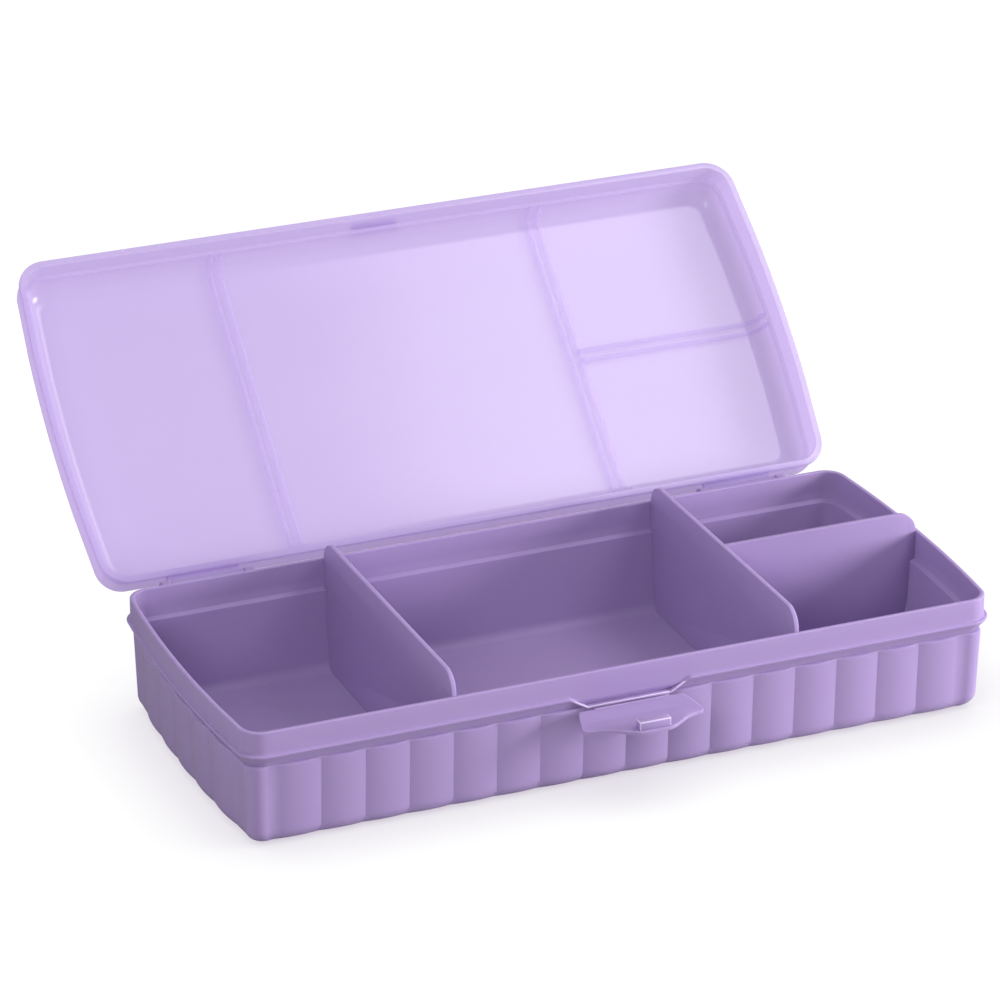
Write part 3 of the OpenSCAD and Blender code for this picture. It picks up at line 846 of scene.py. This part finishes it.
def make_hinge_seats(material, pairs):
    """The bored lugs on the rear wall and the blocks that the open lid rests on."""
    bore = PIN_R + PIN_FIT
    wall = HALF_W - RIM_WALL
    low = RIB_TOP - SEAT_DROP
    ring = round_points(AXIS_Y, AXIS_Z, LUG_R, -110, 180, 30)
    profile = [(wall, LUG_TOP), (wall, low)] + ring + [(AXIS_Y - LUG_R, LUG_TOP)]
    lug = bored_plate("hinge_lugs", profile, -LUG_T / 2, LUG_T / 2, AXIS_Y, AXIS_Z, bore, material)
    set_in_pairs(lug, HINGE_X, LUG_X, pairs)
    shade(lug, HINGE_CREASE)
    face = AXIS_Y - HEEL_T / 2 - SEAT_GAP
    top = AXIS_Z - KNUCKLE_R
    rest = prism("lid_rests", [(wall, low), (face, AXIS_Z - HEEL_R - BLOCK_OUT), (face, top),
                               (wall, top)], -STOP_W / 2, STOP_W / 2, material)
    apply_modifiers(rest)
    set_in_pairs(rest, HINGE_X, 0, pairs)
    merge(rest)
    shade(rest, HINGE_CREASE)
    for piece in (lug, rest):
        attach(piece, "tray")


def merge(obj):
    """Joins points that lie on each other and drops doubled faces."""
    shape = bmesh.new()
    shape.from_mesh(obj.data)
    bmesh.ops.remove_doubles(shape, verts=shape.verts, dist=1e-7)
    shape.to_mesh(obj.data)
    shape.free()


def cut_away(obj, block):
    """Cuts the block out of the piece and clears the block away."""
    apply_modifiers(block)
    cut = obj.modifiers.new("cut", "BOOLEAN")
    cut.operation = "DIFFERENCE"
    cut.solver = "EXACT"
    cut.object = block
    apply_modifiers(obj)
    bpy.data.objects.remove(block)


def bored_plate(name, profile, x_low, x_high, y, z, bore, material):
    """A prism along X with a round bore, its edges softened."""
    plate = prism(name, profile, x_low, x_high, material, width=0)
    drill = prism("drill", circle_points(y, z, bore, BORE_STEPS), x_low - 1, x_high + 1,
                  material, width=0)
    cut_away(plate, drill)
    soften(plate, BORE_SOFT, angle=50)
    apply_modifiers(plate)
    return plate


def make_latch_ridge(material):
    """Thin ridge on the wall over the latch's root, and the bead's slanted ends beside it."""
    front, back = -HALF_W - RIDGE_OUT, -HALF_W + RIB_IN + RIM_WALL / 2
    low, high = RIDGE_LOW, RIDGE_LOW + RIDGE_T
    half = pocket_half(low) + CURL_IN + CURL_W / 2
    ridge = prism("latch_ridge", [(front, low), (front, high), (back, high), (back, low)],
                  -half, half, material, RIDGE_SOFT)
    front = -HALF_W - CURL_OUT
    low, top = pocket_half(CURL_LOW) + CURL_IN, pocket_half(CURL_TOP) + CURL_IN
    curls = []
    for side, name in ((-1, "left_bead_end"), (1, "right_bead_end")):
        face = [(side * low, CURL_LOW), (side * (low + CURL_W), CURL_LOW),
                (side * (top + CURL_W), CURL_TOP), (side * top, CURL_TOP)]
        points = [(x, y, z) for y in (front, back) for x, z in face]
        sides = [(i, (i + 1) % 4, (i + 1) % 4 + 4, i + 4) for i in range(4)]
        curl = mesh_object(name, points, [(0, 1, 2, 3), (7, 6, 5, 4)] + sides, material)
        outward(curl)
        soften(curl, CURL_SOFT)
        curls.append(curl)
    for piece in [ridge] + curls:
        bevel_with_marks(piece)
        shade(piece, LATCH_CREASE)
        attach(piece, "tray")


# ---------- dividers ----------

def divider_edge(wall_place):
    """Edge of a divider from the floor up the wall and over its round top corner."""
    r = DIVIDER_RISE - DIVIDER_EASE
    rows = [(inset, z) for z, inset in tray_inside_rows()[::-1] if z < RIM_H - DIVIDER_EASE]
    rows += [(RIM_WALL + r * (1 - math.cos(a)), DIVIDER_TOP - r * (1 - math.sin(a)))
             for a in np.linspace(0, math.pi / 2, 13)]
    return [(wall_place(inset), z) for inset, z in rows]


def make_dividers(material):
    """The two full dividers and the short one between the right divider and the end."""
    edge = divider_edge(lambda inset: HALF_W - inset)
    profile = edge + [(-y, z) for y, z in edge[::-1]]
    for name, x in (("left_divider", -DIVIDER_X), ("right_divider", DIVIDER_X)):
        plate = prism(name + "_plate", profile, x - DIVIDER_T / 2, x + DIVIDER_T / 2,
                      material, DIVIDER_SOFT)
        finish_divider(plate, name)
    inner = DIVIDER_X + DIVIDER_T / 2
    edge = divider_edge(lambda inset: end_x(DIVIDER_T / 2, inset))
    profile = [(inner, DIVIDER_TOP), (inner, FLOOR_T)] + edge
    plate = prism("cross_divider_plate", profile, -DIVIDER_T / 2, DIVIDER_T / 2,
                  material, DIVIDER_SOFT)
    swap_x_and_y(plate)
    finish_divider(plate, "cross_divider")


def finish_divider(plate, node):
    """Rounds a divider's edges and hands it to the tray in its solid's place."""
    apply_modifiers(plate)
    shade(plate, DIVIDER_CREASE)
    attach(plate, "tray")
    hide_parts(node)


# ---------- lid, made shut and then turned open ----------

def dome_arc(z, wide, high):
    """Rows of [height, inset] up a quarter of an ellipse, from the side to the panel."""
    return [(z + high * math.sin(a), DOME_INSET - wide * math.cos(a))
            for a in np.linspace(0, math.pi / 2, DOME_STEPS + 1)]


def panel_rows(z):
    """Rows of [height, inset] where the panel rises from its edge to its full crown."""
    return [(z + CROWN * CROWN_MID_SHARE, DOME_INSET + CROWN_MID),
            (z + CROWN, DOME_INSET + CROWN_IN)]


def lid_rows():
    """Section of the lid from the panel's underside round the skirt's lip to its top."""
    rows = panel_rows(LID_SEAT_Z + DOME_IN_H)[::-1]
    rows += dome_arc(LID_SEAT_Z, DOME_IN_W, DOME_IN_H)[::-1]
    rows += [(LID_SEAT_Z, SKIRT_IN + SEAT_EASE), (LID_SEAT_Z - SEAT_EASE, SKIRT_IN),
             (LID_EDGE_Z + EDGE_EASE, SKIRT_IN), (LID_EDGE_Z, SKIRT_IN - EDGE_EASE)]
    rows += arc_rows(LID_EDGE_Z + LIP_H / 2, SKIRT_OUT - LIP_OUT / 2, LIP_H / 2,
                     LIP_TRIM - LIP_OUT / 2, -90, 70, 10)
    rows += [(LID_EDGE_Z + LIP_H + LIP_EASE, SKIRT_OUT)]
    rows += dome_arc(SHOULDER_Z, SHOULDER_W, SHOULDER_H)
    return rows + panel_rows(SHOULDER_Z + SHOULDER_H)


def make_lid_shell(material):
    """The domed lid with its lip, denser towards the skirt, and the notch for the hook."""
    xs = list(np.linspace(-PANEL_X, PANEL_X, 21))
    ys = list(np.linspace(-PANEL_Y, PANEL_Y, 9))
    rings = [[(x, y, z) for x, y in outline(inset, lid_r(inset), xs, ys)]
             for z, inset in lid_rows()]
    points, faces = skin(rings)
    shell = mesh_object("lid_shell", points, faces, material)
    edge = [smooth_step((DOME_INSET - inset) / SHOULDER_W * LID_EDGE_SPREAD)
            for z, inset in lid_rows()]
    mark_points(shell, "lid_edge", [e for e in edge for _ in rings[0]])
    low, top = LID_SEAT_Z + NOTCH_UP, LID_SEAT_Z + NOTCH_UP + NOTCH_H
    out, inner = -HALF_W - NOTCH_OUT, -HALF_W + NOTCH_IN
    block = prism("notch_block", [(out, low), (inner, low), (inner, top), (out, top)],
                  -CATCH_W / 2, CATCH_W / 2, material, NOTCH_SOFT)
    cut_away(shell, block)
    return shell


def lid_pieces(material, rib_material):
    """Every piece of the lid, drawn shut."""
    pieces = [make_lid_shell(material), make_catch_ridge(material)]
    pieces += [make_channels(rib_material)] + make_cross_channels(rib_material)
    return pieces + lid_knuckles(material, pair_tree(material))


def make_catch_ridge(material):
    """The low ridge on the lid's front that the latch's hook holds."""
    low, front = LID_SEAT_Z + SEAT_GAP, SKIRT_OUT - HALF_W - CATCH_OUT
    back = SKIRT_OUT - HALF_W + LID_T / 2
    ridge = prism("catch_ridge", [(front, low), (back, low), (back, low + CATCH_H),
                                  (front, low + CATCH_H)], -CATCH_W / 2, CATCH_W / 2, material)
    apply_modifiers(ridge)
    return ridge


def make_channels(material):
    """Two pairs of ribs across the lid's inside, on either side of each full divider."""
    outer = [(HALF_W - inset, z) for inset, z in channel_arc(CHANNEL_SUNK)]
    inner = [(HALF_W - inset, z) for inset, z in channel_arc(-CHANNEL_H)]
    profile = [(-y, z) for y, z in outer] + [(0, CHANNEL_TOP)] + outer[::-1] + inner
    profile += [(-y, z) for y, z in inner[::-1]]
    channels = prism("lid_channels", profile, -CHANNEL_T / 2, CHANNEL_T / 2, material,
                     CHANNEL_SOFT)
    apply_modifiers(channels)
    set_in_pairs(channels, DIVIDER_X, CHANNEL_MID, pair_tree(material))
    clear_of_cross_divider(channels, material)
    return channels


def clear_of_cross_divider(channels, material):
    """Opens the rib that the cross divider passes through when the lid is shut."""
    start, top = DIVIDER_X + DIVIDER_T / 2, DIVIDER_TOP + PASSAGE_UP
    half, low = DIVIDER_T / 2 + CHANNEL_GAP, top - PASSAGE_H
    passage = prism("cross_passage", [(-half, low), (half, low), (half, top), (-half, top)],
                    start, start + PASSAGE_W, material, 0)
    cut_away(channels, passage)


def make_cross_channels(material):
    """The short pair of ribs over the cross divider, out to the lid's right end."""
    start = DIVIDER_X + DIVIDER_T / 2 + CHANNEL_GAP
    outer = [(HALF_L - inset, z) for inset, z in channel_arc(CHANNEL_SUNK)]
    inner = [(HALF_L - inset, z) for inset, z in channel_arc(-CHANNEL_H)]
    profile = [(start, LID_SEAT_Z + DOME_IN_H - CHANNEL_H), (start, CHANNEL_TOP)]
    profile += outer[::-1] + inner
    ribs = []
    for name, middle in (("cross_channel_front", -CHANNEL_MID),
                         ("cross_channel_rear", CHANNEL_MID)):
        rib = prism(name, profile, middle - CHANNEL_T / 2, middle + CHANNEL_T / 2, material,
                    CHANNEL_SOFT)
        swap_x_and_y(rib)
        apply_modifiers(rib)
        ribs.append(rib)
    return ribs


def channel_arc(grow):
    """The dome's inner arc, grown into the wall or shrunk away from it, as [inset, height]."""
    rows = dome_arc(LID_SEAT_Z, DOME_IN_W + grow, DOME_IN_H + grow)
    return [(inset, z) for z, inset in rows]


def lid_knuckles(material, pairs):
    """The bored knuckles on their arms, and the heels that stop the open lid."""
    arm_from = HALF_W - SKIRT_OUT - LID_T / 2
    top = AXIS_Z + KNUCKLE_R
    profile = [(arm_from, top), (arm_from, top - ARM_T)]
    start = 180 - math.degrees(math.asin((KNUCKLE_R - ARM_T) / KNUCKLE_R))
    profile += round_points(AXIS_Y, AXIS_Z, KNUCKLE_R, start, 450, 40)
    knuckle = bored_plate("lid_knuckles", profile, -KNUCKLE_L / 2, KNUCKLE_L / 2, AXIS_Y, AXIS_Z,
                          PIN_R + PIN_RUN, material)
    set_in_pairs(knuckle, HINGE_X, 0, pairs)
    merge(knuckle)
    half = HEEL_T / 2
    inner = PIN_R + HEEL_FROM
    heel = prism("lid_heels", [(AXIS_Y - half, AXIS_Z - inner), (AXIS_Y + half, AXIS_Z - inner),
                               (AXIS_Y + half, AXIS_Z - HEEL_R), (AXIS_Y - half, AXIS_Z - HEEL_R)],
                 -STOP_W / 2, STOP_W / 2, material, HEEL_SOFT)
    apply_modifiers(heel)
    turn_about(heel, AXIS_Y, AXIS_Z, LID_OPEN)
    set_in_pairs(heel, HINGE_X, 0, pairs)
    merge(heel)
    return [knuckle, heel]


def make_lid(material, rib_material):
    """The lid, drawn shut, turned to its open rest and handed to its body."""
    for piece in lid_pieces(material, rib_material):
        turn_about(piece, AXIS_Y, AXIS_Z, -LID_OPEN)
        shade(piece, LID_CREASE)
        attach(piece, "lid")
        if piece.name == "lid_shell":
            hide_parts("lid_cover")


# ---------- latch ----------

def tongue(u, side, blend):
    """Share of the tongue at a place u across the latch, from -1 to 1."""
    return smooth_step((side - abs(u)) / blend)


def latch_point(u, v):
    """Top face of the latch: u runs across it, v from the wall to the front edge."""
    reach = WING_REACH + (TONGUE_REACH - WING_REACH) * tongue(u, TONGUE_SIDE, TONGUE_BLEND)
    past = (abs(u) - 1) * LATCH_FRONT_W / 2 + WING_ROUND
    if past > 0:
        reach -= WING_ROUND - math.sqrt(max(0, WING_ROUND ** 2 - past ** 2))
    out = v * reach
    half = LATCH_BACK_W / 2 + (LATCH_FRONT_W - LATCH_BACK_W) / 2 * v ** LATCH_FLARE
    lift = TONGUE_LIFT * tongue(u, LIFT_SIDE, LIFT_BLEND) * max(0, out - BEND_AT)
    return (u * half, LATCH_Y - out, LATCH_Z + TAB_UP - DROOP * out + lift)


def plate_faces(rows, cols):
    """Faces of a closed plate: a grid of points, the same grid under it, and its rim."""
    under = rows * cols
    faces = []
    for r in range(rows - 1):
        for c in range(cols - 1):
            a = r * cols + c
            b, d, e = a + 1, a + cols, a + cols + 1
            faces += [(a, d, e, b), (under + a, under + b, under + e, under + d)]
    rim = [(c, c + 1) for c in range(cols - 1)]
    rim += [(r * cols + cols - 1, (r + 1) * cols + cols - 1) for r in range(rows - 1)]
    rim += [((rows - 1) * cols + c, (rows - 1) * cols + c - 1) for c in range(cols - 1, 0, -1)]
    rim += [(r * cols, (r - 1) * cols) for r in range(rows - 1, 0, -1)]
    return faces + [(a, b, under + b, under + a) for a, b in rim]


def make_tab(material):
    """The latch's curved plate, with its points closer together towards its sides."""
    across = [math.sin(math.pi * (c / (TAB_COLS - 1) - 0.5)) for c in range(TAB_COLS)]
    grid = [latch_point(u, r / (TAB_ROWS - 1)) for r in range(TAB_ROWS) for u in across]
    points = grid + [(x, y, z - LATCH_T) for x, y, z in grid]
    tab = mesh_object("latch_tab", points, plate_faces(TAB_ROWS, TAB_COLS), material)
    outward(tab)
    soften(tab, TAB_SOFT, segments=3, angle=50)
    bevel_with_marks(tab)
    return tab


def make_latch(material):
    """The latch: its tab, the hook on the tongue and the root that it turns on."""
    tab = make_tab(material)
    hook_low = latch_point(0, HOOK_FROM / TONGUE_REACH)[2]
    front = LATCH_Y - HOOK_FROM - HOOK_L
    top = hook_low + HOOK_H
    hook = prism("latch_hook", [(front, hook_low - LATCH_T / 2), (front, top),
                                (front + HOOK_L, top), (front + HOOK_L, hook_low - LATCH_T / 2)],
                 -HOOK_W / 2, HOOK_W / 2, material)
    bevel_with_marks(hook)
    root = prism("latch_root", circle_points(LATCH_Y, LATCH_Z, ROOT_R, ROOT_STEPS), -ROOT_L / 2,
                 ROOT_L / 2, material, 0)
    for piece in (tab, hook, root):
        shade(piece, LATCH_CREASE)
        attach(piece, "latch")
    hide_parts("front_latch")


# ---------- studio ----------

# The camera's turns are in radians, its shift and distance in millimetres
CAMERA_YAW = 0.403
CAMERA_PITCH = 0.422
CAMERA_ROLL = 0.002
CAMERA_SHIFT = (20.12, -73.2)
CAMERA_DISTANCE = 1777.69
CAMERA_LENS = 180.735

# Floor: what it throws back, and what the camera sees of it, with a painted contact shadow darker
# close to the box
FLOOR_BOUNCE = (0.5, 0.5, 0.5, 1)
FLOOR_SHADE = (0.07, 0.07, 0.07, 1)
FLOOR_WHITE = (0.98, 0.98, 0.98, 1)
PAINTED_CONTACT_SHADE = (0.6, 0.55, 0.64, 1)
PAINTED_SHADE_REACH = 0.035
FLOOR_REACH = 6000
# Light from all round, and the soft lamps: name, place, aim, size, power
ROOM_TONE = (0.97, 0.97, 1, 1)
ROOM_LIGHT = 0.42
BOX_MIDDLE = (0, 0, 0.03)
LAMPS = [("key_right", (1.1, -0.6, 0.28), BOX_MIDDLE, 0.5, 15.4),
         ("softbox_in_lid", (0.7, -0.3, 1.1), (0.05, 0.05, 0.05), 0.6, 4.5),
         ("fill_front", (-0.85, -0.65, 0.8), BOX_MIDDLE, 0.6, 4.9),
         ("top_back", (0.1, 0.9, 1.3), BOX_MIDDLE, 0.8, 1)]


def make_camera():
    """The camera, set from its turns, its distance and how far the box lies off its axis."""
    yaw, pitch, roll = CAMERA_YAW, CAMERA_PITCH, CAMERA_ROLL
    ahead = Vector((math.sin(yaw) * math.cos(pitch), math.cos(yaw) * math.cos(pitch),
                    -math.sin(pitch)))
    right = Vector((math.cos(yaw), -math.sin(yaw), 0))
    up = right.cross(ahead)
    right, up = (right * math.cos(roll) + up * math.sin(roll),
                 up * math.cos(roll) - right * math.sin(roll))
    place = -right * CAMERA_SHIFT[0] - up * CAMERA_SHIFT[1] - ahead * CAMERA_DISTANCE
    turn = Matrix((right, up, -ahead)).transposed().to_4x4()
    data = bpy.data.cameras.new("camera")
    data.lens = CAMERA_LENS
    data.sensor_width = 36
    data.clip_end = 20
    camera = bpy.data.objects.new("camera", data)
    camera.matrix_world = Matrix.Translation(place * MM) @ turn
    bpy.context.scene.collection.objects.link(camera)
    bpy.context.scene.camera = camera


def soft_lamp(name, place, target, size, power):
    """A round softbox aimed at a place."""
    data = bpy.data.lights.new(name, "AREA")
    data.shape = "DISK"
    data.size = size
    data.energy = power
    lamp = bpy.data.objects.new(name, data)
    aim = Vector(target) - Vector(place)
    lamp.rotation_euler = aim.to_track_quat("-Z", "Y").to_euler()
    lamp.location = place
    bpy.context.scene.collection.objects.link(lamp)


def make_studio():
    """Light from all round, seen as white, the lamps and the floor."""
    world = bpy.data.worlds.new("studio")
    bpy.context.scene.world = world
    world.use_nodes = True
    tree = world.node_tree
    tree.nodes.clear()
    output = tree.nodes.new("ShaderNodeOutputWorld")
    around = tree.nodes.new("ShaderNodeBackground")
    around.inputs["Color"].default_value = ROOM_TONE
    around.inputs["Strength"].default_value = ROOM_LIGHT
    seen = tree.nodes.new("ShaderNodeBackground")
    seen.inputs["Color"].default_value = (1, 1, 1, 1)
    seen.inputs["Strength"].default_value = 1
    mix = tree.nodes.new("ShaderNodeMixShader")
    tree.links.new(seen_or_passed(tree), mix.inputs["Fac"])
    tree.links.new(around.outputs["Background"], mix.inputs[1])
    tree.links.new(seen.outputs["Background"], mix.inputs[2])
    tree.links.new(mix.outputs["Shader"], output.inputs["Surface"])
    for lamp in LAMPS:
        soft_lamp(*lamp)
    corners = [(x * FLOOR_REACH, y * FLOOR_REACH, 0)
               for x, y in ((-1, -1), (1, -1), (1, 1), (-1, 1))]
    mesh_object("studio_floor", corners, [(0, 1, 2, 3)], white_floor())


# ---------- the box ----------

tray_lilac = lilac_plastic()
lid_lilac = see_through("lid_lilac_clear", **LID_CLEAR)
rib_lilac = see_through("lid_rib_clear", **RIB_CLEAR)
tray_pairs = pair_tree(tray_lilac)

make_tray(tray_lilac)
make_hinge_seats(tray_lilac, tray_pairs)
make_latch_ridge(tray_lilac)
make_dividers(tray_lilac)
make_lid(lid_lilac, rib_lilac)
make_latch(tray_lilac)
for pin_name in ("left_hinge_pin", "right_hinge_pin"):
    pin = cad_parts[pin_name]
    pin.data.materials.clear()
    pin.data.materials.append(tray_lilac)

make_camera()
make_studio()
bpy.context.scene.view_settings.view_transform = "Standard"
